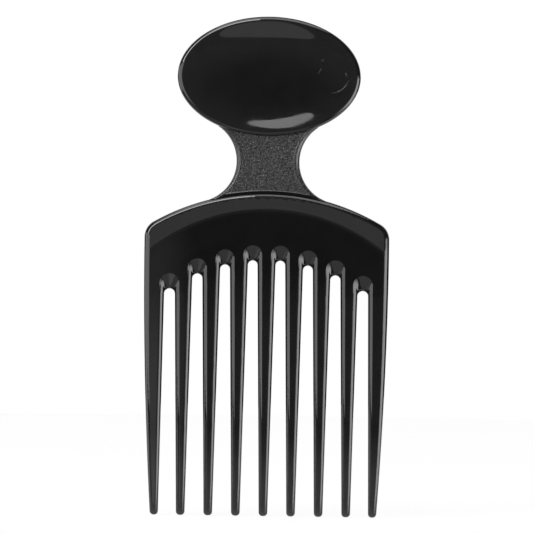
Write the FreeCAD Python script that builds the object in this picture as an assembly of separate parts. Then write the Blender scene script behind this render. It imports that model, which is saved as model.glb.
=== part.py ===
"""Afro pick: an oval grip pad, a short grained neck and a bevelled comb back with nine long teeth.

The pick hangs upright in its frame: X across the teeth, Y through the thickness with the front
face at -Y, Z up along the length. The origin is the middle of the oval pad, where it is held.
The pick is one moulding, divided where its shape and finish change: pad, neck, back and teeth.
"""
import FreeCAD, Part
import math
import os

from FreeCAD import Vector

# Driving sizes in millimetres

# Oval grip pad
PAD_WIDTH = 54.9
PAD_HEIGHT = 35.8
PAD_THICKNESS = 7.6
PAD_DOME_RISE = 1.5
PAD_EDGE_RADIUS = 1.45

# Neck between the pad and the comb back
NECK_LENGTH = 17.0
NECK_WIDTH = 18.85
NECK_THICKNESS = 3.2
NECK_EDGE_RADIUS = 1.5
NECK_FEATHER_EDGE = 0.15

# Comb back, measured down the middle from its arched top to the highest gap
BACK_WIDTH = 73.4
BACK_DEPTH = 20.2
BACK_THICKNESS = 5.6
BACK_TOP_RADIUS = 68.7
BACK_SHOULDER_RADIUS = 5.1
BACK_EDGE_RADIUS = 1.8
BACK_BEVEL_WIDTH = 5.6
BACK_BEVEL_RADIUS = 56.0
BACK_BEVEL_DROP = 0.88
BACK_BEVEL_BLEND = 2.0

# Teeth, measured from the highest gap down to the tips
TOOTH_COUNT = 9
TOOTH_LENGTH = 76.8
TOOTH_ROOT_WIDTH = 5.45
TOOTH_ROOT_RADIUS = 1.6
TOOTH_TIP_WIDTH = 2.6
TOOTH_TIP_THICKNESS = 2.4
TOOTH_TIP_RADIUS = 1.1
OUTER_TOOTH_ROOT_WIDTH = 6.32
OUTER_TOOTH_TIP_GAIN = 0.3
OUTER_EDGE_BOW = 2.75

# Gaps between the teeth: their tops lie on an arc, with a ramp cut into both faces above each
GAP_ARC_RADIUS = 51.6
SCOOP_RISE = 4.6
SCOOP_LAND = 0.6
SCOOP_CLEARANCE = 0.05

# How far a cut runs past the face that it leaves
CUT_OVERRUN = 1.0

# The largest part of a wall that one edge rounding may take, and where teeth and tips are sectioned
ROUNDING_SHARE = 0.47
OUTER_SECTION_SHARES = (0.0, 0.25, 0.5, 0.75, 1.0)
TIP_TURN_SHARES = (0.0, 0.2, 0.4, 0.6, 0.75, 0.88)
SCOOP_DEPTH_SHARES = (0.0, 0.2, 0.4, 0.6, 0.75, 0.88, 0.96, 0.995)

# Levels and places worked out from the driving sizes
PAD_HALF_WIDTH = PAD_WIDTH / 2
PAD_HALF_HEIGHT = PAD_HEIGHT / 2
BACK_HALF_WIDTH = BACK_WIDTH / 2
BACK_HALF_THICKNESS = BACK_THICKNESS / 2
BACK_TOP_Z = -PAD_HALF_HEIGHT - NECK_LENGTH
BACK_ARC_Z = BACK_TOP_Z - BACK_TOP_RADIUS
GAP_CROWN_Z = BACK_TOP_Z - BACK_DEPTH
TIP_Z = GAP_CROWN_Z - TOOTH_LENGTH
SHOULDER_X = BACK_HALF_WIDTH - BACK_SHOULDER_RADIUS
SHOULDER_Z = BACK_ARC_Z + math.sqrt((BACK_TOP_RADIUS - BACK_SHOULDER_RADIUS) ** 2 - SHOULDER_X ** 2)
TOOTH_HALF_COUNT = (TOOTH_COUNT - 1) / 2
TOOTH_PITCH = (BACK_HALF_WIDTH - OUTER_TOOTH_ROOT_WIDTH + TOOTH_ROOT_WIDTH / 2) / TOOTH_HALF_COUNT


def mirrored(point):
    """The same point on the other side of the pick's middle."""
    return Vector(-point.x, point.y, point.z)


def limited_radius(radius, wall):
    """An edge rounding that leaves some of the wall between its two sides."""
    return min(radius, ROUNDING_SHARE * wall)


def plate(edges, thickness):
    """A flat plate with the given outline, centred on the middle plane."""
    face = Part.Face(Part.Wire(edges))
    solid = face.extrude(Vector(0, thickness, 0))
    solid.translate(Vector(0, -thickness / 2, 0))
    return solid


def line(start, end):
    return Part.LineSegment(start, end).toShape()


def arc(start, middle, end):
    return Part.Arc(start, middle, end).toShape()


# Oval grip pad

def oval_grip_pad():
    """A round pad with two shallow domes and a rounded rim, drawn together to an oval."""
    crown = PAD_THICKNESS / 2
    rim_radius = limited_radius(PAD_EDGE_RADIUS, PAD_THICKNESS - 2 * PAD_DOME_RISE)
    dome_radius = (PAD_HALF_WIDTH ** 2 + PAD_DOME_RISE ** 2) / (2 * PAD_DOME_RISE)
    dome_centre = crown - dome_radius
    rim_x = PAD_HALF_WIDTH - rim_radius
    rim_y = dome_centre + math.sqrt((dome_radius - rim_radius) ** 2 - rim_x ** 2)
    slope = math.atan2(rim_x, rim_y - dome_centre)

    def on_dome(angle):
        return Vector(dome_radius * math.sin(angle), dome_centre + dome_radius * math.cos(angle), 0)

    def on_rim(angle):
        return Vector(rim_x + rim_radius * math.sin(angle), rim_y + rim_radius * math.cos(angle), 0)

    def back_side(point):
        return Vector(point.x, -point.y, point.z)

    top = on_dome(0)
    shoulder = on_rim(slope)
    wall = on_rim(math.pi / 2)
    rim_middle = on_rim((slope + math.pi / 2) / 2)
    profile = [
        arc(top, on_dome(slope / 2), shoulder),
        arc(shoulder, rim_middle, wall),
        line(wall, back_side(wall)),
        arc(back_side(wall), back_side(rim_middle), back_side(shoulder)),
        arc(back_side(shoulder), back_side(on_dome(slope / 2)), back_side(top)),
        line(back_side(top), top),
    ]
    disc = Part.Face(Part.Wire(profile)).revolve(Vector(0, 0, 0), Vector(0, 1, 0), 360)
    to_oval = FreeCAD.Matrix()
    to_oval.scale(Vector(1, 1, PAD_HALF_HEIGHT / PAD_HALF_WIDTH))
    return disc.transformGeometry(to_oval)


# Neck

def notch_beside_neck():
    """Radius and middle of the round notch that touches both the oval pad and the arched back."""
    oval = Part.Ellipse(Vector(0, 0, 0), PAD_HALF_WIDTH, PAD_HALF_HEIGHT).toShape()
    oval.rotate(Vector(0, 0, 0), Vector(1, 0, 0), 90)

    def middle(radius):
        x = NECK_WIDTH / 2 + radius
        return Vector(x, 0, BACK_ARC_Z + math.sqrt((BACK_TOP_RADIUS + radius) ** 2 - x ** 2))

    small = NECK_LENGTH / 4
    large = NECK_LENGTH * 2
    while large - small > NECK_FEATHER_EDGE / 1000:
        radius = (small + large) / 2
        if oval.distToShape(Part.Vertex(middle(radius)))[0] > radius:
            small = radius
        else:
            large = radius
    nearest = oval.distToShape(Part.Vertex(middle(radius)))[1][0][0]
    return radius, middle(radius), nearest


def neck(pad, back):
    """A thin waisted plate that runs into the edge of the pad and into the top of the back."""
    radius, middle, on_pad = notch_beside_neck()
    on_back = Vector(0, 0, BACK_ARC_Z) + (middle - Vector(0, 0, BACK_ARC_Z)).normalize() * BACK_TOP_RADIUS
    # The notch stops short of where it touches, so the neck's corners keep a feather edge
    stop_angle = math.sqrt(2 * NECK_FEATHER_EDGE / radius)
    top_angle = math.atan2(on_pad.z - middle.z, on_pad.x - middle.x) + stop_angle
    foot_angle = math.atan2(on_back.z - middle.z, on_back.x - middle.x) - stop_angle

    def on_notch(angle):
        return middle + Vector(math.cos(angle), 0, math.sin(angle)) * radius

    high = on_notch(top_angle)
    low = on_notch(foot_angle)
    waist = middle - Vector(radius, 0, 0)
    high_inside = Vector(high.x, 0, high.z + PAD_EDGE_RADIUS + CUT_OVERRUN)
    low_inside = Vector(low.x, 0, low.z - BACK_EDGE_RADIUS - CUT_OVERRUN)
    blank = plate([
        line(low_inside, low),
        arc(low, waist, high),
        line(high, high_inside),
        line(high_inside, mirrored(high_inside)),
        line(mirrored(high_inside), mirrored(high)),
        arc(mirrored(high), mirrored(waist), mirrored(low)),
        line(mirrored(low), mirrored(low_inside)),
        line(mirrored(low_inside), low_inside),
    ], NECK_THICKNESS)
    sides = [edge for edge in blank.Edges if edge.Curve.TypeId == "Part::GeomCircle"]
    rounded = blank.makeFillet(limited_radius(NECK_EDGE_RADIUS, NECK_THICKNESS), sides)
    return rounded.cut(pad).cut(back)


# Gaps and teeth

def outer_edge_x(z):
    """Half the comb's width at a level: straight at the shoulders, drawn in towards the tips."""
    length = SHOULDER_Z - TIP_Z
    bow_radius = (length ** 2 + OUTER_EDGE_BOW ** 2) / (2 * OUTER_EDGE_BOW)
    return BACK_HALF_WIDTH - bow_radius + math.sqrt(bow_radius ** 2 - (SHOULDER_Z - z) ** 2)


def tooth_half_width(z):
    """Half an inner tooth's width, which narrows evenly from the highest gap to the tips."""
    share_down = (GAP_CROWN_Z - z) / TOOTH_LENGTH
    return (TOOTH_ROOT_WIDTH + (TOOTH_TIP_WIDTH - TOOTH_ROOT_WIDTH) * share_down) / 2


def gap_half_width(z):
    return TOOTH_PITCH / 2 - tooth_half_width(z)


def gap_x(gap):
    """Middle of a gap: gap 0 lies between the first two teeth."""
    return (gap + 0.5 - TOOTH_HALF_COUNT) * TOOTH_PITCH


def gap_top_z(gap):
    return GAP_CROWN_Z - GAP_ARC_RADIUS + math.sqrt(GAP_ARC_RADIUS ** 2 - gap_x(gap) ** 2)


def gap_spring_z(gap):
    """Level where a gap's round roof meets its straight sides."""
    return gap_top_z(gap) - gap_half_width(gap_top_z(gap))


def root_z(tooth):
    """Level where a tooth leaves the back: below the roofs of the gaps on both its sides."""
    beside = [gap for gap in (tooth - 1, tooth) if 0 <= gap < TOOTH_COUNT - 1]
    return min(gap_spring_z(gap) for gap in beside)


LOWEST_ROOT_Z = min(root_z(tooth) for tooth in range(TOOTH_COUNT))
BACK_BLANK_Z = LOWEST_ROOT_Z - CUT_OVERRUN


def gap_slot(gap):
    """The slot between two teeth, from its round roof down past the back's blank."""
    x = gap_x(gap)
    foot = BACK_BLANK_Z - CUT_OVERRUN
    spring = gap_spring_z(gap)

    def at(offset, z):
        return Vector(x + offset, 0, z)

    spring_half = gap_half_width(spring)
    foot_half = gap_half_width(foot)
    return plate([
        line(at(-foot_half, foot), at(-spring_half, spring)),
        arc(at(-spring_half, spring), at(0, gap_top_z(gap)), at(spring_half, spring)),
        line(at(spring_half, spring), at(foot_half, foot)),
        line(at(foot_half, foot), at(-foot_half, foot)),
    ], BACK_THICKNESS + 2 * CUT_OVERRUN)


def gap_edge_radius():
    return limited_radius(TOOTH_ROOT_RADIUS, min(TOOTH_ROOT_WIDTH, BACK_THICKNESS))


def scoop(gap, side):
    """The ramp above a gap: it leaves the roof as round as the gap's edges and runs out in one face."""
    land = SCOOP_LAND / 2
    depth = BACK_HALF_THICKNESS - land
    radius = gap_edge_radius()
    slope = math.acos(radius / math.hypot(depth, SCOOP_RISE - radius)) - math.atan2(SCOOP_RISE - radius, depth)
    top = gap_top_z(gap)
    foot = gap_spring_z(gap) - radius
    roof_half = gap_half_width(top) - SCOOP_CLEARANCE

    def rise(y):
        """How far the ramp has climbed at a distance from the middle plane."""
        round_end = land + radius * math.cos(slope)
        if y < round_end:
            return radius - math.sqrt(radius ** 2 - (y - land) ** 2)
        return radius * (1 - math.sin(slope)) + (y - round_end) / math.tan(slope)

    def half_width(y):
        """Half the scoop's width, which opens as the gap's rounded edges do."""
        into_round = max(0, y - BACK_HALF_THICKNESS + radius)
        return roof_half + radius - math.sqrt(radius ** 2 - into_round ** 2)

    def arch(y, half, crest):
        middle = gap_x(gap)
        left_foot = Vector(middle - half, side * y, foot)
        left = Vector(middle - half, side * y, crest - half)
        right = Vector(middle + half, side * y, crest - half)
        right_foot = Vector(middle + half, side * y, foot)
        return Part.Wire([
            line(left_foot, left),
            arc(left, Vector(middle, side * y, crest), right),
            line(right, right_foot),
            line(right_foot, left_foot),
        ])

    arches = []
    for share in SCOOP_DEPTH_SHARES:
        y = land + depth * share
        arches.append(arch(y, half_width(y), top - SCOOP_CLEARANCE + rise(y)))
    outside = BACK_HALF_THICKNESS + CUT_OVERRUN
    arches.append(arch(outside, roof_half + radius + CUT_OVERRUN, top - SCOOP_CLEARANCE + rise(outside)))
    return Part.makeLoft(arches, True, True)


def tooth_section(x_low, x_high, thickness, low_radius, high_radius, z):
    """A level rounded rectangle; the two sides may have corners of different radius."""
    half = thickness / 2
    diagonal = math.sqrt(0.5)

    def corner(x_sign, y_sign):
        radius = low_radius if x_sign < 0 else high_radius
        x = x_low + radius if x_sign < 0 else x_high - radius
        y = y_sign * (half - radius)
        across = Vector(x + x_sign * radius, y, z)
        middle = Vector(x + x_sign * radius * diagonal, y + y_sign * radius * diagonal, z)
        through = Vector(x, y + y_sign * radius, z)
        return across, middle, through

    right_front = corner(1, -1)
    left_front = corner(-1, -1)
    left_back = corner(-1, 1)
    right_back = corner(1, 1)
    return Part.Wire([
        arc(right_front[0], right_front[1], right_front[2]),
        line(right_front[2], left_front[2]),
        arc(left_front[2], left_front[1], left_front[0]),
        line(left_front[0], left_back[0]),
        arc(left_back[0], left_back[1], left_back[2]),
        line(left_back[2], right_back[2]),
        arc(right_back[2], right_back[1], right_back[0]),
        line(right_back[0], right_front[0]),
    ])


def tooth(number):
    """A tapered tooth from its root face to its blunt rounded tip; number 0 is at -X."""
    root = root_z(number)
    centre = (number - TOOTH_HALF_COUNT) * TOOTH_PITCH
    is_first = number == 0
    is_last = number == TOOTH_COUNT - 1
    tip_round = limited_radius(TOOTH_TIP_RADIUS, min(TOOTH_TIP_WIDTH, TOOTH_TIP_THICKNESS))
    shaft_end = TIP_Z + tip_round

    def section(z, inset):
        share_down = (root - z) / (root - TIP_Z)

        def between(root_size, tip_size):
            return root_size + (tip_size - root_size) * share_down

        inner_half = tooth_half_width(z)
        if is_first or is_last:
            inner_half += OUTER_TOOTH_TIP_GAIN * share_down
        x_low = -outer_edge_x(z) if is_first else centre - inner_half
        x_high = outer_edge_x(z) if is_last else centre + inner_half
        thickness = between(BACK_THICKNESS, TOOTH_TIP_THICKNESS) - 2 * inset
        wall = min(thickness, x_high - x_low - 2 * inset)
        inner_radius = limited_radius(between(TOOTH_ROOT_RADIUS, TOOTH_TIP_RADIUS), wall)
        outer_radius = limited_radius(between(BACK_EDGE_RADIUS, TOOTH_TIP_RADIUS), wall)
        low_radius = outer_radius if is_first else inner_radius
        high_radius = outer_radius if is_last else inner_radius
        return tooth_section(x_low + inset, x_high - inset, thickness, low_radius, high_radius, z)

    def shaft_section(share_down):
        return section(root + (shaft_end - root) * share_down, 0)

    def tip_section(turn_share):
        turn = turn_share * math.pi / 2
        return section(shaft_end - tip_round * math.sin(turn), tip_round * (1 - math.cos(turn)))

    if is_first or is_last:
        shaft = Part.makeLoft([shaft_section(share) for share in OUTER_SECTION_SHARES], True, False)
    else:
        shaft = Part.makeLoft([shaft_section(0), shaft_section(1)], True, True)
    tip = Part.makeLoft([tip_section(share) for share in TIP_TURN_SHARES], True, False)
    return shaft.fuse(tip)


# Comb back

def back_outline():
    """The arched top, the two round shoulders and the sides, down to the blank's level foot."""
    shoulder_middle = Vector(SHOULDER_X, 0, SHOULDER_Z)
    towards_arc = (shoulder_middle - Vector(0, 0, BACK_ARC_Z)).normalize()
    shoulder_top = Vector(0, 0, BACK_ARC_Z) + towards_arc * BACK_TOP_RADIUS
    half_turn = math.atan2(towards_arc.z, towards_arc.x) / 2
    halfway = Vector(math.cos(half_turn), 0, math.sin(half_turn)) * BACK_SHOULDER_RADIUS
    shoulder_halfway = shoulder_middle + halfway
    side_top = Vector(BACK_HALF_WIDTH, 0, SHOULDER_Z)
    side_middle_z = (SHOULDER_Z + BACK_BLANK_Z) / 2
    side_middle = Vector(outer_edge_x(side_middle_z), 0, side_middle_z)
    side_foot = Vector(outer_edge_x(BACK_BLANK_Z), 0, BACK_BLANK_Z)
    return [
        arc(shoulder_top, Vector(0, 0, BACK_TOP_Z), mirrored(shoulder_top)),
        arc(mirrored(shoulder_top), mirrored(shoulder_halfway), mirrored(side_top)),
        arc(mirrored(side_top), mirrored(side_middle), mirrored(side_foot)),
        line(mirrored(side_foot), side_foot),
        arc(side_foot, side_middle, side_top),
        arc(side_top, shoulder_halfway, shoulder_top),
    ]


def bevelled_disc():
    """A disc as wide as the back: flat faces that fall off softly to a shallow bevel round its rim."""
    slope = math.atan2(BACK_BEVEL_DROP, BACK_BEVEL_WIDTH)
    middle_z = BACK_TOP_Z - BACK_BEVEL_WIDTH - BACK_BEVEL_RADIUS
    flat_end = BACK_BEVEL_RADIUS - BACK_BEVEL_BLEND / 2
    blend_radius = BACK_BEVEL_BLEND / 2 / math.tan(slope / 2)
    to_shoulder = math.hypot(SHOULDER_X, SHOULDER_Z - middle_z) + BACK_SHOULDER_RADIUS
    rim = max(to_shoulder, BACK_TOP_Z - middle_z) + CUT_OVERRUN
    rim_half = BACK_HALF_THICKNESS - math.tan(slope) * (rim - BACK_BEVEL_RADIUS)

    def at(radius, y):
        return Vector(radius, y, middle_z)

    def on_blend(angle, side):
        fall = blend_radius * (1 - math.cos(angle))
        return at(flat_end + blend_radius * math.sin(angle), side * (BACK_HALF_THICKNESS - fall))

    def half_profile(side):
        return [
            line(at(0, side * BACK_HALF_THICKNESS), on_blend(0, side)),
            arc(on_blend(0, side), on_blend(slope / 2, side), on_blend(slope, side)),
            line(on_blend(slope, side), at(rim, side * rim_half)),
        ]

    front = half_profile(-1)
    back = half_profile(1)
    rim_line = line(at(rim, -rim_half), at(rim, rim_half))
    axis_line = line(at(0, BACK_HALF_THICKNESS), at(0, -BACK_HALF_THICKNESS))
    profile = Part.Wire(front + [rim_line] + back[::-1] + [axis_line])
    return Part.Face(profile).revolve(at(0, 0), Vector(0, 1, 0), 360)


def face_edges(solid, chosen):
    """Edges that lie along one of the two faces, not through the thickness, and are chosen."""
    found = []
    for edge in solid.Edges:
        middle = edge.valueAt((edge.FirstParameter + edge.LastParameter) / 2)
        along_face = edge.BoundBox.YMin * edge.BoundBox.YMax > 0
        at_foot = edge.BoundBox.ZMax < BACK_BLANK_Z + CUT_OVERRUN / 2
        if along_face and not at_foot and chosen(middle):
            found.append(edge)
    return found


def comb_back():
    """The bevelled plate with rounded edges, the roofs of the gaps and the stubs of the teeth."""
    blank = plate(back_outline(), BACK_THICKNESS + 2 * CUT_OVERRUN)
    solid = blank.common(bevelled_disc())

    def on_outline(point):
        inside_arc = BACK_TOP_RADIUS - math.hypot(point.x, point.z - BACK_ARC_Z)
        return inside_arc < BACK_EDGE_RADIUS / 2 or abs(point.x) > SHOULDER_X

    edge_radius = limited_radius(BACK_EDGE_RADIUS, BACK_THICKNESS - 2 * BACK_BEVEL_DROP)
    solid = solid.makeFillet(edge_radius, face_edges(solid, on_outline))
    gaps = range(TOOTH_COUNT - 1)
    for gap in gaps:
        solid = solid.cut(gap_slot(gap))

    def on_gap(point):
        from_gap = min(abs(point.x - gap_x(gap)) for gap in gaps)
        below_bevel = point.z < (BACK_TOP_Z + GAP_CROWN_Z) / 2
        return from_gap < gap_half_width(TIP_Z) and below_bevel

    solid = solid.makeFillet(gap_edge_radius(), face_edges(solid, on_gap))
    for gap in gaps:
        for side in (-1, 1):
            solid = solid.cut(scoop(gap, side))
    for number in range(TOOTH_COUNT):
        solid = solid.cut(below_root(number))
    return solid


def below_root(number):
    """Everything under one tooth's root face, from the middle of one gap to the next."""
    centre = (number - TOOTH_HALF_COUNT) * TOOTH_PITCH
    reach = OUTER_TOOTH_ROOT_WIDTH + TOOTH_PITCH
    low = centre - (reach if number == 0 else TOOTH_PITCH / 2)
    high = centre + (reach if number == TOOTH_COUNT - 1 else TOOTH_PITCH / 2)
    depth = BACK_THICKNESS + 2 * CUT_OVERRUN
    height = root_z(number) - BACK_BLANK_Z + CUT_OVERRUN
    return Part.makeBox(high - low, depth, height, Vector(low, -depth / 2, root_z(number) - height))


def main():
    pad = oval_grip_pad()
    back = comb_back()
    nodes = {"oval_grip_pad": pad, "neck": neck(pad, back), "comb_back": back}
    for number in range(TOOTH_COUNT):
        nodes["tooth_%d" % (number + 1)] = tooth(number)
    os.makedirs("parts", exist_ok=True)
    for name, shape in nodes.items():
        [solid] = shape.Solids
        print(name, "valid" if solid.isValid() else "not valid", "%.1f mm3" % solid.Volume)
        solid.exportStep(os.path.join("parts", name + ".step"))


main()
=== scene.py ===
"""The afro pick in gloss black plastic with a grained neck, upright on a pale studio floor.

All places are in metres in the part's own frame: X across the teeth, Y through the thickness with
the front face at -Y, Z up along the length, and the origin in the middle of the oval pad.
"""
import math

import bpy
from mathutils import Matrix, Vector, noise


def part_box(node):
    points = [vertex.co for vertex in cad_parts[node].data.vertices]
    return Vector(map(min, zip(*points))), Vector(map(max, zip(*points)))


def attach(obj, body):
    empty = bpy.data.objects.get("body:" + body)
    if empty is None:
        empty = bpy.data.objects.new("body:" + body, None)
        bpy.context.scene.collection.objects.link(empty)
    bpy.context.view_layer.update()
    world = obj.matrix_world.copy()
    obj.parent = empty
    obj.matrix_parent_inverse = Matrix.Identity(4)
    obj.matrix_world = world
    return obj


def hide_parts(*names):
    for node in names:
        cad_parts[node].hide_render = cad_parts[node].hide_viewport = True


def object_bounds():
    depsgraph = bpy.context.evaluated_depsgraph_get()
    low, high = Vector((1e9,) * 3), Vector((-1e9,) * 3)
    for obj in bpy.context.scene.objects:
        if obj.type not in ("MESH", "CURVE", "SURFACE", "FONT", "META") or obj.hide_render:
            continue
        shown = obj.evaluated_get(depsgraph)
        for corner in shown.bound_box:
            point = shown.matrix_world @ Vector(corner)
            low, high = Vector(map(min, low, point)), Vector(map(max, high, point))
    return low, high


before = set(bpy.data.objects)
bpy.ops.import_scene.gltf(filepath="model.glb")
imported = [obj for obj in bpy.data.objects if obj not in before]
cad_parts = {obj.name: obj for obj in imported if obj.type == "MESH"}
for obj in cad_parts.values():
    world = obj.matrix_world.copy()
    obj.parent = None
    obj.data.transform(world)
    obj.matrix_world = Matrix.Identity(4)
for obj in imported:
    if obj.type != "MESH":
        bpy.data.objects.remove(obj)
cad_low, cad_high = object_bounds()

# Sizes that the frame's boxes don't give, in metres
PAD_DOME_RISE = 0.0015
PAD_RIM_RADIUS = 0.00145
NECK_WIDTH = 0.01885
NECK_THICKNESS = 0.0032
NECK_EDGE_RADIUS = 0.0015
NOTCH_RADIUS = 0.01239
NOTCH_MIDDLE_Z = -0.0255
BACK_TOP_RADIUS = 0.0687

# Grain on the neck: height, its highest value, the two sizes of pit that it mixes, and its fade to the sides
GRAIN_HEIGHT = 0.00016
GRAIN_PEAK = 0.75
GRAIN_COARSE = 0.00045
GRAIN_FINE = 0.00025
GRAIN_FADE = 0.0005

# The shares of the two sizes of pit in the grain, and how far apart in the noise the two lie
COARSE_SHARE = 0.65
FINE_SHARE = 0.35
FINE_LAYER = 5

# Polished land where the neck meets the back: its rise, how far up its flat reaches, and the step beyond
LAND_RISE = 0.00006
LAND_FLAT = 0.0005
LAND_STEP = 0.00028

# How finely the new skins are divided
PAD_SEGMENTS = 320
PAD_DOME_RINGS = 64
PAD_RIM_RINGS = 16
NECK_ROW_STEP = 0.00008
NECK_FACE_POINTS = 160
NECK_EDGE_POINTS = 14

# Edges that turn more than this stay crisp, and those on the back's flat faces stay crisp sooner
CRISP_ANGLE = math.radians(28)
CRISP_FLAT_ANGLE = math.radians(12)

# How near a point has to lie to a flat face to count as on it, and to another point to be welded to it
FLAT_TOLERANCE = 0.000005
WELD_REACH = 0.000001

# Multiplied with a place, this leaves out the thickness
IN_FACE_PLANE = (1, 0, 1)

# Plastic: how it bends light, the black of the moulding, and the somewhat lighter black used on the pad
PLASTIC_IOR = 1.57
BLACK = 0.0043
PAD_BLACK = 0.0057

# Straight rub marks on the pad's front: middle, turn in degrees, length and width, and how strong they are
STRAIGHT_MARKS = (
    ((0.02305, 0, 0.0007), 73, 0.0019, 0.0006),
    ((0.0151, 0, 0.0017), -58, 0.0026, 0.0006),
    ((0.0159, 0, 0.0049), 10, 0.0012, 0.0009),
)
STRAIGHT_MARK_STRENGTH = 0.85

# Drapes: their radius, and the half angle in degrees that they leave open behind the pick
ROOM_RADIUS = 5
ROOM_WINDOW = 14

# Their glow behind the camera and round it, the share that is left far off, and at how many degrees
# from the camera's axis it starts to rise, is fullest and has fallen
GLOW_AT_CAMERA = 0.02
GLOW_ROUND_CAMERA = 0.15
FAR_GLOW_SHARE = 0.25
GLOW_ANGLES = (3, 15, 45)

# Floor: its radius, where its middle lies, the gap that keeps the tips off it, and its white
FLOOR_RADIUS = 0.49
FLOOR_MIDDLE_Y = 0.44
FLOOR_GAP = 0.0002
FLOOR_WHITE = 0.9

# Camera: image size, scale on the pick's middle plane, where the image's middle lies, lens, roll and reach
IMAGE_PIXELS = 533
METRES_PER_PIXEL = 0.0003
VIEW_MIDDLE_Z = -0.057
CAMERA_LENS_MM = 300
CAMERA_SENSOR_MM = 36
CAMERA_ROLL = 0.0146
CAMERA_REACH = 20


# Skins made from rings of points

def skin(name, rings, first_pole, last_pole):
    """A closed smooth surface over equal rings of points, with a pole at each end."""
    count = len(rings[0])
    points = [first_pole]
    for ring in rings:
        points.extend(ring)
    points.append(last_pole)
    last = len(points) - 1
    start_of_last = 1 + (len(rings) - 1) * count
    faces = []
    for side in range(count):
        beside = (side + 1) % count
        faces.append((0, 1 + beside, 1 + side))
        for row in range(len(rings) - 1):
            here = 1 + row * count
            there = here + count
            faces.append((here + side, here + beside, there + beside, there + side))
        faces.append((start_of_last + side, start_of_last + beside, last))
    mesh = bpy.data.meshes.new(name)
    mesh.from_pydata(points, [], faces)
    mesh.update()
    mesh.shade_smooth()
    piece = bpy.data.objects.new(name, mesh)
    bpy.context.scene.collection.objects.link(piece)
    return piece


def add_piece(piece, node, material):
    """Puts a piece in a CAD node's place, on the one body."""
    piece.data.materials.append(material)
    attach(piece, "root")
    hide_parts(node)


def grip_pad():
    """The oval pad: two shallow domes that meet a rim of one radius all round."""
    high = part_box("oval_grip_pad")[1]
    dome_radius = (high.x ** 2 + PAD_DOME_RISE ** 2) / (2 * PAD_DOME_RISE)
    dome_middle = high.y - dome_radius

    def dome(x, z):
        return dome_middle + math.sqrt(dome_radius ** 2 - x ** 2 - (z * high.x / high.z) ** 2)

    def half_section(turn):
        """Points from the crown out to the widest line of the rim, at one turn."""
        x = high.x * math.cos(turn)
        z = high.z * math.sin(turn)
        inward = -Vector((x / high.x ** 2, z / high.z ** 2)).normalized()

        def inside(depth):
            return x + inward.x * depth, z + inward.y * depth

        slope = math.atan2(dome(*inside(PAD_RIM_RADIUS)) - dome(x, z), PAD_RIM_RADIUS)
        dome_x, dome_z = inside(PAD_RIM_RADIUS * (1 - math.sin(slope)))
        rim_y = dome(dome_x, dome_z) - PAD_RIM_RADIUS * math.cos(slope)
        points = []
        for step in range(1, PAD_DOME_RINGS + 1):
            share = step / PAD_DOME_RINGS
            points.append((share * dome_x, dome(share * dome_x, share * dome_z), share * dome_z))
        for step in range(1, PAD_RIM_RINGS + 1):
            angle = slope + (math.pi / 2 - slope) * step / PAD_RIM_RINGS
            rim_x, rim_z = inside(PAD_RIM_RADIUS * (1 - math.sin(angle)))
            points.append((rim_x, rim_y + PAD_RIM_RADIUS * math.cos(angle), rim_z))
        return points

    sections = [half_section(2 * math.pi * segment / PAD_SEGMENTS) for segment in range(PAD_SEGMENTS)]
    rear = [list(ring) for ring in zip(*sections)]
    front = [[(x, -y, z) for x, y, z in ring] for ring in rear]
    return skin("grip_pad", front + rear[::-1], (0, -high.y, 0), (0, high.y, 0))


def neck_half_width(z):
    """Half the neck's width at a level, between the two round notches."""
    offset = z - NOTCH_MIDDLE_Z
    return NECK_WIDTH / 2 + NOTCH_RADIUS - math.sqrt(NOTCH_RADIUS ** 2 - offset ** 2)


def grain(x, z, side):
    """Height of the grain at a point of one face, from -1 to 1."""
    coarse = noise.noise(Vector((x / GRAIN_COARSE, side, z / GRAIN_COARSE)))
    fine = noise.noise(Vector((x / GRAIN_FINE, side + FINE_LAYER, z / GRAIN_FINE)))
    return COARSE_SHARE * coarse + FINE_SHARE * fine


def soft_step(share):
    """Runs softly from 0 to 1 with the share."""
    share = min(1, max(0, share))
    return share ** 2 * (3 - 2 * share)


def back_arc_middle_z():
    """The level of the middle of the arc along the back's top."""
    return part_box("comb_back")[1].z - BACK_TOP_RADIUS


def neck():
    """The waisted neck: grained faces between smooth rounded sides, and a polished land at its foot."""
    low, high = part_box("neck")
    arc_middle_z = back_arc_middle_z()
    rows = math.ceil((high.z - low.z) / NECK_ROW_STEP)
    half = NECK_THICKNESS / 2
    flat = half - NECK_EDGE_RADIUS

    def face_point(share, face_half, z, side):
        x = face_half * (2 * share - 1)
        fade = min(1, (face_half - abs(x)) / GRAIN_FADE)
        above_back = math.hypot(x, z - arc_middle_z) - BACK_TOP_RADIUS
        grained = soft_step((above_back - LAND_FLAT) / LAND_STEP)
        pit = GRAIN_HEIGHT * min(0, grain(x, z, side) - GRAIN_PEAK)
        y = half + fade * (grained * pit + (1 - grained) * LAND_RISE)
        return (x * -side, side * y, z)

    def edge_point(share, face_half, z, side):
        turn = math.pi * share
        x = face_half + NECK_EDGE_RADIUS * math.sin(turn)
        y = NECK_EDGE_RADIUS * math.cos(turn)
        y += math.copysign(flat, y)
        return (side * x, -side * y, z)

    rings = []
    for row in range(rows + 1):
        z = high.z + (low.z - high.z) * row / rows
        face_half = neck_half_width(z) - NECK_EDGE_RADIUS
        ring = []
        for side in (-1, 1):
            for point in range(NECK_FACE_POINTS):
                ring.append(face_point(point / NECK_FACE_POINTS, face_half, z, side))
            for point in range(NECK_EDGE_POINTS):
                ring.append(edge_point(point / NECK_EDGE_POINTS, face_half, z, -side))
        rings.append(ring)
    return skin("grained_neck", rings, (0, 0, high.z), (0, 0, low.z))


# Small node helpers

def feed(tree, socket, value):
    """Links a socket to another, or sets it to a plain value."""
    if isinstance(value, bpy.types.NodeSocket):
        tree.links.new(value, socket)
    else:
        socket.default_value = value


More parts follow.
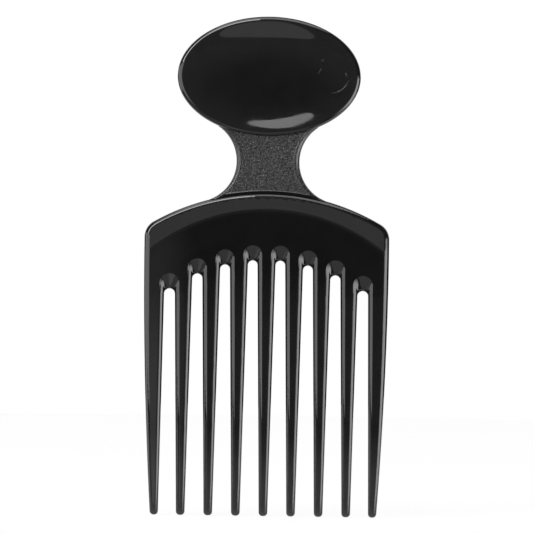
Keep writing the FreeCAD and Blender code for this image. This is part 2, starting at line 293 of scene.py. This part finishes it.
def calculate(tree, operation, *values):
    """A calculation with plain numbers."""
    node = tree.nodes.new("ShaderNodeMath")
    node.operation = operation
    for socket, value in zip(node.inputs, values):
        feed(tree, socket, value)
    return node.outputs[0]


def calculate_vector(tree, operation, *values):
    """A calculation with vectors."""
    node = tree.nodes.new("ShaderNodeVectorMath")
    node.operation = operation
    for socket, value in zip(node.inputs, values):
        feed(tree, socket, value)
    is_number = operation in ("LENGTH", "DISTANCE", "DOT_PRODUCT")
    return node.outputs["Value" if is_number else "Vector"]


def object_place(tree):
    """The place on the object, in metres."""
    return tree.nodes.new("ShaderNodeTexCoord").outputs["Object"]


def split(tree, vector):
    """The parts of a vector, by their letters."""
    node = tree.nodes.new("ShaderNodeSeparateXYZ")
    tree.links.new(vector, node.inputs[0])
    return node.outputs


def ramp(tree, value, start, end, to_start, to_end):
    """A soft change from one value to another while the input runs from start to end."""
    node = tree.nodes.new("ShaderNodeMapRange")
    node.interpolation_type = "SMOOTHSTEP"
    feed(tree, node.inputs["Value"], value)
    node.inputs["From Min"].default_value = start
    node.inputs["From Max"].default_value = end
    node.inputs["To Min"].default_value = to_start
    node.inputs["To Max"].default_value = to_end
    return node.outputs["Result"]


def near_grey(level, blue):
    """An opaque colour that is grey but for its blue."""
    return (level, level, blue, 1)


def tone_ramp(tree, value, start, first, end, second):
    """A colour that goes from the first to the second while the input runs from start to end."""
    node = tree.nodes.new("ShaderNodeValToRGB")
    node.color_ramp.elements[0].position = start
    node.color_ramp.elements[0].color = first
    node.color_ramp.elements[1].position = end
    node.color_ramp.elements[1].color = second
    tree.links.new(value, node.inputs["Fac"])
    return node.outputs["Color"]


def blended(tree, share, first, second):
    """A colour that goes from the first to the second with the share."""
    node = tree.nodes.new("ShaderNodeMix")
    node.data_type = "RGBA"
    feed(tree, node.inputs["Factor"], share)
    feed(tree, node.inputs["A"], first)
    feed(tree, node.inputs["B"], second)
    return node.outputs["Result"]


def clouds(tree, place, size, detail):
    """Soft noise whose patches are about as large as the given size."""
    node = tree.nodes.new("ShaderNodeTexNoise")
    node.inputs["Scale"].default_value = 1 / size
    node.inputs["Detail"].default_value = detail
    tree.links.new(place, node.inputs["Vector"])
    return node.outputs["Fac"]


def turned(tree, place, middle, turn, size):
    """The place as seen from a middle, turned in the plane of the faces and divided by a size."""
    node = tree.nodes.new("ShaderNodeMapping")
    node.vector_type = "TEXTURE"
    node.inputs["Location"].default_value = middle
    node.inputs["Rotation"].default_value = (0, math.radians(turn), 0)
    node.inputs["Scale"].default_value = size
    tree.links.new(place, node.inputs["Vector"])
    return node.outputs["Vector"]


# Shading of the CAD skins that stay

def crisp_by_angle():
    """A node group that shades smooth, and keeps sharply turned edges crisp."""
    group = bpy.data.node_groups.new("crisp_by_angle", "GeometryNodeTree")
    group.interface.new_socket("Geometry", in_out="INPUT", socket_type="NodeSocketGeometry")
    group.interface.new_socket("Geometry", in_out="OUTPUT", socket_type="NodeSocketGeometry")

    def above(value, limit):
        node = group.nodes.new("FunctionNodeCompare")
        node.data_type = "FLOAT"
        node.operation = "GREATER_THAN"
        node.inputs["B"].default_value = limit
        group.links.new(value, node.inputs["A"])
        return node.outputs["Result"]

    def combined(operation, first, second):
        node = group.nodes.new("FunctionNodeBooleanMath")
        node.operation = operation
        group.links.new(first, node.inputs[0])
        group.links.new(second, node.inputs[1])
        return node.outputs[0]

    source = group.nodes.new("NodeGroupInput")
    result = group.nodes.new("NodeGroupOutput")
    smooth = group.nodes.new("GeometryNodeSetShadeSmooth")
    smooth.domain = "FACE"
    crisp = group.nodes.new("GeometryNodeSetShadeSmooth")
    crisp.domain = "EDGE"
    crisp.inputs["Shade Smooth"].default_value = False
    angle = group.nodes.new("GeometryNodeInputMeshEdgeAngle").outputs["Unsigned Angle"]
    place = group.nodes.new("GeometryNodeInputPosition").outputs[0]
    flat_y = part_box("comb_back")[1].y - FLAT_TOLERANCE
    on_flat = above(calculate(group, "ABSOLUTE", split(group, place)["Y"]), flat_y)
    on_flat_turned = combined("AND", on_flat, above(angle, CRISP_FLAT_ANGLE))
    group.links.new(combined("OR", on_flat_turned, above(angle, CRISP_ANGLE)), crisp.inputs["Selection"])
    group.links.new(source.outputs[0], smooth.inputs["Geometry"])
    group.links.new(smooth.outputs[0], crisp.inputs["Geometry"])
    group.links.new(crisp.outputs[0], result.inputs[0])
    return group


def dress_node(node, material, group):
    """Welds a CAD skin, shades its rounded edges smoothly and gives it its material."""
    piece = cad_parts[node]
    weld = piece.modifiers.new("weld", "WELD")
    weld.merge_threshold = WELD_REACH
    crisp = piece.modifiers.new("crisp", "NODES")
    crisp.node_group = group
    normals = piece.modifiers.new("normals", "WEIGHTED_NORMAL")
    normals.keep_sharp = True
    for material_slot in piece.material_slots:
        material_slot.material = material


# Materials

def new_material(name):
    """A material with its node tree and its shader."""
    material = bpy.data.materials.new(name)
    material.use_nodes = True
    tree = material.node_tree
    return material, tree, tree.nodes["Principled BSDF"]


def bare_material(name):
    """A material without a shader, its node tree, and the surface to feed."""
    material, tree, shader = new_material(name)
    tree.nodes.remove(shader)
    return material, tree, tree.nodes["Material Output"].inputs["Surface"]


def hairlines(tree, place, turn, length, width, threshold):
    """Sparse straight scratches that all run one way."""
    soft_edge = 0.05
    along = turned(tree, place, (0, 0, 0), turn, (length, length, width))
    return ramp(tree, clouds(tree, along, size=1, detail=1), threshold, threshold + soft_edge, 0, 1)


def scuff(tree, place, middle, turn, length, width):
    """One short straight rub mark."""
    parts = split(tree, turned(tree, place, middle, turn, (length / 2, 1, width / 2)))
    along = ramp(tree, calculate(tree, "ABSOLUTE", parts["X"]), start=0.3, end=1, to_start=1, to_end=0)
    across = ramp(tree, calculate(tree, "ABSOLUTE", parts["Z"]), start=0.2, end=1, to_start=1, to_end=0)
    return calculate(tree, "MULTIPLY", along, across)


def bent_scuff(tree, place, middle, radius, width, turn, spread):
    """One rub mark along a part of a circle, so many degrees either side of a direction."""
    turn = math.radians(turn)
    offset = calculate_vector(tree, "SUBTRACT", place, middle)
    offset = calculate_vector(tree, "MULTIPLY", offset, IN_FACE_PLANE)
    from_ring = calculate(tree, "SUBTRACT", calculate_vector(tree, "LENGTH", offset), radius)
    across = ramp(tree, calculate(tree, "ABSOLUTE", from_ring), 0.1 * width, 0.5 * width, 1, 0)
    direction = (math.cos(turn), 0, math.sin(turn))
    facing = calculate_vector(tree, "DOT_PRODUCT", calculate_vector(tree, "NORMALIZE", offset), direction)
    full = math.cos(math.radians(0.5 * spread))
    none = math.cos(math.radians(spread))
    return calculate(tree, "MULTIPLY", across, ramp(tree, facing, none, full, 0, 1))


def handling_marks(tree, place):
    """The few rub marks on the right of the pad's front."""
    marks = bent_scuff(tree, place, middle=(0.0183, 0, 0.0009), radius=0.00575, width=0.0005,
                       turn=-52, spread=38)
    for middle, turn, length, width in STRAIGHT_MARKS:
        mark = scuff(tree, place, middle, turn, length, width)
        mark = calculate(tree, "MULTIPLY", mark, STRAIGHT_MARK_STRENGTH)
        marks = calculate(tree, "MAXIMUM", marks, mark)
    in_front = calculate(tree, "LESS_THAN", split(tree, place)["Y"], 0.0)
    patches = clouds(tree, place, size=0.0011, detail=4)
    uneven = ramp(tree, patches, start=0.4, end=0.62, to_start=0.3, to_end=1)
    return calculate(tree, "MULTIPLY", calculate(tree, "MULTIPLY", marks, in_front), uneven)


def gloss_black(name, black, is_marked):
    """Polished black moulding: faint cloudiness, smears, and fine scratches from handling."""
    scratch_roughness = 0.1
    rub_roughness = 0.3
    rub_grey = 0.06
    material, tree, shader = new_material(name)
    shader.inputs["IOR"].default_value = PLASTIC_IOR
    place = object_place(tree)
    colour = tone_ramp(tree, clouds(tree, place, size=0.006, detail=4),
                       start=0.35, first=near_grey(black, 1.05 * black),
                       end=0.65, second=near_grey(1.25 * black, 1.3 * black))
    smears = clouds(tree, place, size=0.004, detail=5)
    roughness = ramp(tree, smears, start=0.35, end=0.7, to_start=0.02, to_end=0.05)
    lines = calculate(tree, "MAXIMUM",
                      hairlines(tree, place, turn=24, length=0.006, width=0.00007, threshold=0.7),
                      hairlines(tree, place, turn=-63, length=0.004, width=0.00006, threshold=0.72))
    roughness = calculate(tree, "ADD", roughness, calculate(tree, "MULTIPLY", lines, scratch_roughness))
    if is_marked:
        marks = handling_marks(tree, place)
        roughness = calculate(tree, "ADD", roughness, calculate(tree, "MULTIPLY", marks, rub_roughness))
        colour = blended(tree, marks, colour, near_grey(rub_grey, rub_grey))
    tree.links.new(colour, shader.inputs["Base Color"])
    tree.links.new(roughness, shader.inputs["Roughness"])
    return material


def grained_black():
    """The same plastic with a spark-eroded matt grain, polished where the neck meets the back."""
    polished_roughness = 0.05
    polished_black = near_grey(0.0045, 0.0047)
    material, tree, shader = new_material("grained_black")
    shader.inputs["IOR"].default_value = PLASTIC_IOR
    place = object_place(tree)
    tone = tone_ramp(tree, clouds(tree, place, size=0.0005, detail=3),
                     start=0.4, first=near_grey(0.001, 0.0011),
                     end=0.62, second=near_grey(0.036, 0.0365))
    level_place = calculate_vector(tree, "MULTIPLY", place, IN_FACE_PLANE)
    from_arc_middle = calculate_vector(tree, "DISTANCE", level_place, (0, 0, back_arc_middle_z()))
    land_end = BACK_TOP_RADIUS + LAND_FLAT
    is_grained = ramp(tree, from_arc_middle, land_end, land_end + LAND_STEP, 0, 1)
    colour = blended(tree, is_grained, polished_black, tone)
    tree.links.new(colour, shader.inputs["Base Color"])
    patches = clouds(tree, place, size=0.0007, detail=4)
    roughness = ramp(tree, patches, start=0.35, end=0.65, to_start=0.2, to_end=0.36)
    roughness = calculate(tree, "MULTIPLY_ADD", roughness, is_grained, polished_roughness)
    tree.links.new(roughness, shader.inputs["Roughness"])
    pits = tree.nodes.new("ShaderNodeBump")
    pits.inputs["Strength"].default_value = 0.5
    pits.inputs["Distance"].default_value = 0.00003
    fine_pits = calculate(tree, "MULTIPLY", clouds(tree, place, size=0.00015, detail=2), is_grained)
    tree.links.new(fine_pits, pits.inputs["Height"])
    tree.links.new(pits.outputs["Normal"], shader.inputs["Normal"])
    return material


# Studio

def front_direction(across, up):
    """Unit vector towards the front, so many degrees across to +X and up from level."""
    across = math.radians(across)
    up = math.radians(up)
    return Vector((math.sin(across) * math.cos(up), -math.cos(across) * math.cos(up), math.sin(up)))


def lamp(name, seen_from, across, up, wide, high, distance, radiance):
    """A soft lamp that fills so many degrees of the view from one point of the pick."""
    data = bpy.data.lights.new(name, "AREA")
    data.shape = "RECTANGLE"
    data.size = 2 * distance * math.tan(math.radians(wide / 2))
    data.size_y = 2 * distance * math.tan(math.radians(high / 2))
    data.energy = radiance * math.pi * data.size * data.size_y
    light = bpy.data.objects.new(name, data)
    towards = front_direction(across, up)
    light.rotation_euler = towards.to_track_quat("Z", "Y").to_euler()
    light.location = seen_from + towards * distance
    light.visible_camera = False
    bpy.context.scene.collection.objects.link(light)


def glow(name, radiance):
    """A plain glowing material; the radiance may be a number or made by a function of the tree."""
    material, tree, surface = bare_material(name)
    shine = tree.nodes.new("ShaderNodeEmission")
    feed(tree, shine.inputs["Strength"], radiance(tree) if callable(radiance) else radiance)
    tree.links.new(shine.outputs[0], surface)
    return material


def stage_mesh(name, points, faces, material, is_seen):
    """A mesh of the studio, which the camera may see or not."""
    mesh = bpy.data.meshes.new(name)
    mesh.from_pydata(points, [], faces)
    mesh.update()
    mesh.materials.append(material)
    thing = bpy.data.objects.new(name, mesh)
    thing.visible_camera = is_seen
    bpy.context.scene.collection.objects.link(thing)


def card(name, points, material):
    """A flat reflector out of the camera's sight."""
    stage_mesh(name, points, [tuple(range(len(points)))], material, is_seen=False)


def arched_panel(name, seen_from, inner, outer, outer_end, first_turn, last_turn, distance, radiance):
    """A reflector bent round the view's axis, between two turns from the top.

    It lies between an inner and an outer angle from the axis, and may be broader at its ends.
    """
    steps = 32
    points = []
    for step in range(steps + 1):
        turn = math.radians(first_turn + (last_turn - first_turn) * step / steps)
        aside = abs(2 * step / steps - 1)
        for off_axis in (inner, outer + (outer_end - outer) * aside ** 2):
            tilt = math.radians(off_axis)
            aside_x = math.sin(tilt) * math.sin(turn)
            aside_z = math.sin(tilt) * math.cos(turn)
            points.append(seen_from + Vector((aside_x, -math.cos(tilt), aside_z)) * distance)
    faces = [(2 * n, 2 * n + 1, 2 * n + 3, 2 * n + 2) for n in range(steps)]
    stage_mesh(name, points, faces, glow(name, radiance), is_seen=False)


def faded_softbox(name, seen_from, across, up, wide, high, side_fade, top_fade, distance, radiance):
    """A soft lamp like the others, whose glow fades in over a share of its left side and of its top."""
    towards = front_direction(across, up)
    rightward = Vector((math.cos(math.radians(across)), math.sin(math.radians(across)), 0))
    upward = rightward.cross(-towards)
    middle = seen_from + towards * distance
    half_wide = distance * math.tan(math.radians(wide / 2))
    half_high = distance * math.tan(math.radians(high / 2))

    def fading(tree):
        place = object_place(tree)
        left = middle.dot(rightward) - half_wide
        top = middle.dot(upward) + half_high
        from_side = calculate_vector(tree, "DOT_PRODUCT", place, rightward)
        from_top = calculate_vector(tree, "DOT_PRODUCT", place, upward)
        at_side = ramp(tree, from_side, left, left + 2 * half_wide * side_fade, 0, radiance)
        at_top = ramp(tree, from_top, top, top - 2 * half_high * top_fade, 0, 1)
        return calculate(tree, "MULTIPLY", at_side, at_top)

    corners = [middle + rightward * half_wide * x + upward * half_high * z
               for x, z in ((-1, -1), (1, -1), (1, 1), (-1, 1))]
    card(name, corners, glow(name, fading))


def rounded_outline(corners):
    """A smooth closed curve through the corners."""
    steps = 6
    count = len(corners)
    curve = []
    for n in range(count):
        before, here, there, after = (Vector(corners[(n + k) % count]) for k in (-1, 0, 1, 2))
        for step in range(steps):
            t = step / steps
            curve.append(0.5 * (2 * here + (there - before) * t
                                + (2 * before - 5 * here + 4 * there - after) * t ** 2
                                + (3 * here - before - 3 * there + after) * t ** 3))
    return curve


def dark_room(middle):
    """Dark drapes all round, paler beside the camera, and open where the white backdrop shows."""
    across_steps = 48
    up_steps = 24
    window = math.radians(ROOM_WINDOW)
    points = []
    for row in range(up_steps + 1):
        tilt = window + (math.pi - window) * row / up_steps
        for column in range(across_steps):
            turn = 2 * math.pi * column / across_steps
            aside_x = math.sin(tilt) * math.cos(turn)
            aside_z = math.sin(tilt) * math.sin(turn)
            points.append(middle + Vector((aside_x, math.cos(tilt), aside_z)) * ROOM_RADIUS)
    faces = []
    for row in range(up_steps):
        for column in range(across_steps):
            beside = (column + 1) % across_steps
            here = row * across_steps
            there = here + across_steps
            faces.append((here + column, here + beside, there + beside, there + column))

    def drapes(tree):
        y = split(tree, object_place(tree))["Y"]
        near_axis, off_axis, far_off = (-ROOM_RADIUS * math.cos(math.radians(angle)) for angle in GLOW_ANGLES)
        rise = ramp(tree, y, near_axis, off_axis, GLOW_AT_CAMERA, GLOW_ROUND_CAMERA)
        fall = ramp(tree, y, off_axis, far_off, 1, FAR_GLOW_SHARE)
        return calculate(tree, "MULTIPLY", rise, fall)

    stage_mesh("dark_room", points, faces, glow("dark_room", drapes), is_seen=False)


def pale_floor(level):
    """A round pale floor that keeps the pick's soft shadow and melts into the white backdrop."""
    steps = 64
    lift = 0.9
    melt_start = 0.89 * FLOOR_RADIUS
    melt_end = 0.99 * FLOOR_RADIUS
    middle = (0, FLOOR_MIDDLE_Y, level)
    points = [middle]
    for step in range(steps):
        turn = 2 * math.pi * step / steps
        points.append((FLOOR_RADIUS * math.cos(turn), FLOOR_MIDDLE_Y + FLOOR_RADIUS * math.sin(turn), level))
    faces = [(0, 1 + step, 1 + (step + 1) % steps) for step in range(steps)]

    material, tree, shader = new_material("pale_floor")
    shader.inputs["Base Color"].default_value = near_grey(FLOOR_WHITE, FLOOR_WHITE)
    shader.inputs["Roughness"].default_value = 0.9
    rays = tree.nodes.new("ShaderNodeLightPath")
    seen = calculate(tree, "ADD", rays.outputs["Is Camera Ray"], rays.outputs["Is Glossy Ray"])
    seen = calculate(tree, "ADD", seen, rays.outputs["Is Transmission Ray"])
    white = tree.nodes.new("ShaderNodeEmission")
    lifted = tree.nodes.new("ShaderNodeMixShader")
    tree.links.new(calculate(tree, "MULTIPLY", seen, lift), lifted.inputs["Fac"])
    tree.links.new(shader.outputs[0], lifted.inputs[1])
    tree.links.new(white.outputs[0], lifted.inputs[2])
    from_middle = calculate_vector(tree, "DISTANCE", object_place(tree), middle)
    clear = tree.nodes.new("ShaderNodeBsdfTransparent")
    melted = tree.nodes.new("ShaderNodeMixShader")
    tree.links.new(ramp(tree, from_middle, melt_start, melt_end, 0, 1), melted.inputs["Fac"])
    tree.links.new(lifted.outputs[0], melted.inputs[1])
    tree.links.new(clear.outputs[0], melted.inputs[2])
    tree.links.new(melted.outputs[0], tree.nodes["Material Output"].inputs["Surface"])
    stage_mesh("pale_floor", points, faces, material, is_seen=True)


def pad_reflectors():
    """The pale lens along the pad's top, the dark flag behind it and the bean-shaped lamp under the camera.

    The lens and the flag are outlined in X and Z, the bean in degrees across and up.
    """
    lens_y = -0.3
    flag_y = lens_y - 0.005
    bean_distance = 2.5
    lens = [(-0.049, 0.0925), (-0.02, 0.093), (0.02, 0.0925), (0.0425, 0.0912), (0.0487, 0.0966),
            (0.041, 0.110), (0.0297, 0.120), (0.015, 0.127), (0, 0.130), (-0.018, 0.128),
            (-0.037, 0.122), (-0.0494, 0.111), (-0.0554, 0.099)]
    flag = [(-0.2, 0.063), (-0.075, 0.063), (-0.06, 0.078), (0.06, 0.078), (0.075, 0.063), (0.2, 0.063),
            (0.2, 0.26), (-0.2, 0.26)]
    bean = [(-3.3, -13.5), (-2.5, -12.75), (0.5, -12.35), (3.35, -11.3), (6.0, -9.85), (7.05, -10.6),
            (6.35, -12.3), (5.0, -13.65), (3.4, -14.75), (0.5, -15.2), (-2.4, -14.4)]
    card("pad_lens", rounded_outline([(x, lens_y, z) for x, z in lens]), glow("pad_lens", radiance=0.58))
    card("pad_flag", [(x, flag_y, z) for x, z in flag], glow("pad_flag", radiance=0.13))
    outline = rounded_outline([(across, up, 0) for across, up in bean])
    card("bean_lamp", [front_direction(point.x, point.y) * bean_distance for point in outline],
         glow("bean_lamp", radiance=3.2))


def low_card():
    """A pale sheet in front of the tips, below the camera's sight, that ends right of the middle."""
    left, right = -0.5, 0.1
    top_y, top_z = -0.25, -0.124
    foot_y, foot_z = -0.12, -0.32
    fade = 0.025
    radiance = 0.45

    def sheet(tree):
        return ramp(tree, split(tree, object_place(tree))["Z"], top_z, top_z - fade, 0, radiance)

    points = [(left, top_y, top_z), (right, top_y, top_z), (right, foot_y, foot_z), (left, foot_y, foot_z)]
    card("low_card", points, glow("low_card", sheet))


def haze():
    """A clear veil close before the teeth that adds a faint glow, stronger to the left and lower down."""
    left, right, top, foot = -0.05, 0.045, -0.03, -0.135
    y = -0.06
    material, tree, surface = bare_material("haze")
    parts = split(tree, object_place(tree))
    to_left = ramp(tree, parts["X"], start=-0.02, end=-0.035, to_start=0, to_end=1)
    on_back = ramp(tree, parts["Z"], start=-0.03, end=-0.055, to_start=0, to_end=0.2)
    on_teeth = ramp(tree, parts["Z"], start=-0.066, end=-0.1, to_start=0, to_end=0.24)
    lower_left = calculate(tree, "MULTIPLY", to_left, calculate(tree, "ADD", on_back, on_teeth))
    all_along = ramp(tree, parts["Z"], start=-0.056, end=-0.08, to_start=0, to_end=0.1)
    shine = tree.nodes.new("ShaderNodeEmission")
    tree.links.new(calculate(tree, "ADD", all_along, lower_left), shine.inputs["Strength"])
    clear = tree.nodes.new("ShaderNodeBsdfTransparent")
    both = tree.nodes.new("ShaderNodeAddShader")
    tree.links.new(shine.outputs[0], both.inputs[0])
    tree.links.new(clear.outputs[0], both.inputs[1])
    tree.links.new(both.outputs[0], surface)
    card("haze", [(left, y, top), (right, y, top), (right, y, foot), (left, y, foot)], material)


def studio():
    """The white backdrop, the drapes, the floor, and the lamps and reflectors that the gloss shows."""
    middle = (cad_low + cad_high) / 2
    pad_middle = Vector((0, 0, 0))
    above_pad_middle = Vector((0, 0, 0.005))
    back_middle = Vector((0, 0, -0.04))
    world = bpy.data.worlds.new("white_backdrop")
    world.use_nodes = True
    world.node_tree.nodes["Background"].inputs["Color"].default_value = (1, 1, 1, 1)
    bpy.context.scene.world = world
    dark_room(middle)
    pale_floor(cad_low.z - FLOOR_GAP)
    pad_reflectors()
    low_card()
    haze()
    arched_panel("arched_panel", back_middle, inner=16.5, outer=22, outer_end=36,
                 first_turn=-50, last_turn=50, distance=2.5, radiance=0.5)
    arched_panel("upper_left_lamp", back_middle, inner=42, outer=62, outer_end=62,
                 first_turn=-66, last_turn=-4, distance=1.6, radiance=8.5)
    lamp("left_softbox", middle, across=-63, up=0, wide=90, high=40, distance=1.6, radiance=2.1)
    faded_softbox("right_softbox", above_pad_middle, across=57, up=-16, wide=58, high=42,
                  side_fade=0.36, top_fade=0.2, distance=0.3, radiance=4.6)
    lamp("low_right_fill", pad_middle, across=96, up=-50, wide=44, high=36, distance=0.5, radiance=1.8)
    lamp("overhead", middle, across=-20, up=80, wide=56, high=50, distance=1.6, radiance=2.4)
    for name, across in (("rear_left_fill", -145), ("rear_right_fill", 145)):
        lamp(name, middle, across, up=25, wide=40, high=40, distance=1.6, radiance=1.2)


def camera():
    """The photograph's view: level from the front, a long lens and a slight roll."""
    data = bpy.data.cameras.new("camera")
    data.lens = CAMERA_LENS_MM
    data.sensor_width = CAMERA_SENSOR_MM
    data.clip_end = CAMERA_REACH
    distance = IMAGE_PIXELS * METRES_PER_PIXEL * CAMERA_LENS_MM / CAMERA_SENSOR_MM
    view = bpy.data.objects.new("camera", data)
    level = Matrix.Rotation(math.pi / 2, 4, "X")
    roll = Matrix.Rotation(CAMERA_ROLL, 4, "Z")
    view.matrix_world = Matrix.Translation((0, -distance, VIEW_MIDDLE_Z)) @ level @ roll
    bpy.context.scene.collection.objects.link(view)
    bpy.context.scene.camera = view


def main():
    """Dresses the pick and sets the scene."""
    bpy.context.scene.view_settings.view_transform = "Standard"
    gloss = gloss_black("gloss_black", BLACK, is_marked=False)
    # The pad takes a somewhat lighter black than the rest, and the rub marks
    handled = gloss_black("gloss_black_handled", PAD_BLACK, is_marked=True)
    add_piece(grip_pad(), "oval_grip_pad", handled)
    add_piece(neck(), "neck", grained_black())
    group = crisp_by_angle()
    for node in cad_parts:
        if node == "comb_back" or node.startswith("tooth_"):
            dress_node(node, gloss, group)
    studio()
    camera()


main()
